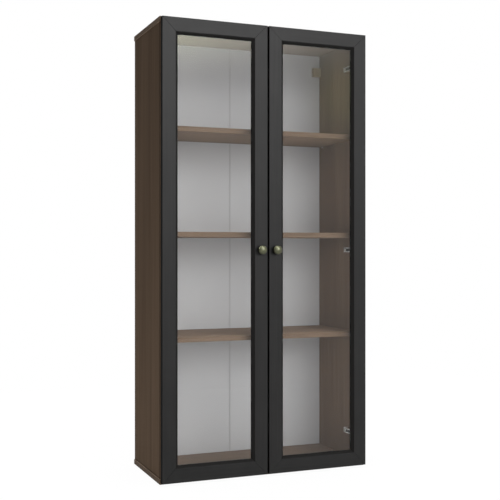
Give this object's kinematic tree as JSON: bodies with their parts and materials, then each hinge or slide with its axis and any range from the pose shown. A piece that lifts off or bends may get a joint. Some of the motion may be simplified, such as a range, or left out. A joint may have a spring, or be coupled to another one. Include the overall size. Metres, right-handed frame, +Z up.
{
  "type": "china cabinet",
  "caption": "Tall narrow display cabinet with two framed glass doors on concealed hinges, brass knobs, dark wood-effect carcass, pale back and shelves for china and glassware.",
  "frame": {"origin": "on the floor, under the middle of the box that holds the whole cabinet, knobs included", "axes": "+Z up, the doors face -Y, +X to the right of a person facing the doors"},
  "size_m": [0.8, 0.393, 1.63],
  "materials": {
    "walnut_board": "satin wood-effect faced chipboard, dark walnut",
    "walnut_shelf": "satin wood-effect faced chipboard, lit brown",
    "pale_back": "matt pale grey painted hardboard",
    "grey_plastic": "matt moulded",
    "charcoal_frame": "satin charcoal foil on fibreboard",
    "black_bead": "satin black extruded bead",
    "clear_glass": "clear float glass",
    "antique_brass": "satin antique brass",
    "nickel_steel": "nickel-plated pressed steel",
    "soft_bumper": "soft translucent pad"
  },
  "bodies": {
    "carcass": {"top_panel": "walnut_board", "bottom_panel": "walnut_board", "side_panel_left": "walnut_board", "side_panel_right": "walnut_board", "back_panel_left": "pale_back", "back_panel_right": "pale_back", "back_joint_strip": "grey_plastic", "shelf_upper": "walnut_shelf", "shelf_middle": "walnut_shelf", "shelf_lower": "walnut_shelf", "glide_front_left": "grey_plastic", "glide_front_right": "grey_plastic", "glide_rear_left": "grey_plastic", "glide_rear_right": "grey_plastic", "shelf_pin_upper_front_left": "nickel_steel", "shelf_pin_upper_front_right": "nickel_steel", "shelf_pin_upper_rear_left": "nickel_steel", "shelf_pin_upper_rear_right": "nickel_steel", "shelf_pin_lower_front_left": "nickel_steel", "shelf_pin_lower_front_right": "nickel_steel", "shelf_pin_lower_rear_left": "nickel_steel", "shelf_pin_lower_rear_right": "nickel_steel", "wall_block_left": "walnut_board", "wall_block_right": "walnut_board", "hinge_arm_left_top": "nickel_steel", "hinge_arm_left_middle": "nickel_steel", "hinge_arm_left_bottom": "nickel_steel", "hinge_arm_right_top": "nickel_steel", "hinge_arm_right_middle": "nickel_steel", "hinge_arm_right_bottom": "nickel_steel"},
    "left_links": {"hinge_link_left_top": "nickel_steel", "hinge_link_left_middle": "nickel_steel", "hinge_link_left_bottom": "nickel_steel"},
    "left_door": {"door_left_stile_outer": "charcoal_frame", "door_left_stile_meeting": "charcoal_frame", "door_left_rail_top": "charcoal_frame", "door_left_rail_bottom": "charcoal_frame", "door_left_pane": "clear_glass", "door_left_bead": "black_bead", "door_left_knob": "antique_brass", "door_left_bumper_top": "soft_bumper", "door_left_bumper_bottom": "soft_bumper", "hinge_cup_left_top": "nickel_steel", "hinge_cup_left_middle": "nickel_steel", "hinge_cup_left_bottom": "nickel_steel"},
    "right_links": {"hinge_link_right_top": "nickel_steel", "hinge_link_right_middle": "nickel_steel", "hinge_link_right_bottom": "nickel_steel"},
    "right_door": {"door_right_stile_outer": "charcoal_frame", "door_right_stile_meeting": "charcoal_frame", "door_right_rail_top": "charcoal_frame", "door_right_rail_bottom": "charcoal_frame", "door_right_pane": "clear_glass", "door_right_bead": "black_bead", "door_right_knob": "antique_brass", "door_right_bumper_top": "soft_bumper", "door_right_bumper_bottom": "soft_bumper", "hinge_cup_right_top": "nickel_steel", "hinge_cup_right_middle": "nickel_steel", "hinge_cup_right_bottom": "nickel_steel"}
  },
  "joints": [
    {"name": "left_link_hinge", "type": "hinge", "parent": "carcass", "child": "left_links", "pos_m": [-0.3672, -0.148, 0.8186], "axis": [0, 0, 1], "range_deg": [0, 42.7]},
    {"name": "left_door_hinge", "type": "hinge", "parent": "left_links", "child": "left_door", "pos_m": [-0.3872, -0.1505, 0.8186], "axis": [0, 0, -1], "range_deg": [0, 152.7]},
    {"name": "right_link_hinge", "type": "hinge", "parent": "carcass", "child": "right_links", "pos_m": [0.3672, -0.148, 0.8186], "axis": [0, 0, -1], "range_deg": [0, 42.7]},
    {"name": "right_door_hinge", "type": "hinge", "parent": "right_links", "child": "right_door", "pos_m": [0.3872, -0.1505, 0.8186], "axis": [0, 0, 1], "range_deg": [0, 152.7]}
  ],
  "couplings": [
    {"joint": "left_link_hinge", "follows": "left_door_hinge", "ratio": 0.27954},
    {"joint": "right_link_hinge", "follows": "right_door_hinge", "ratio": 0.27954}
  ]
}
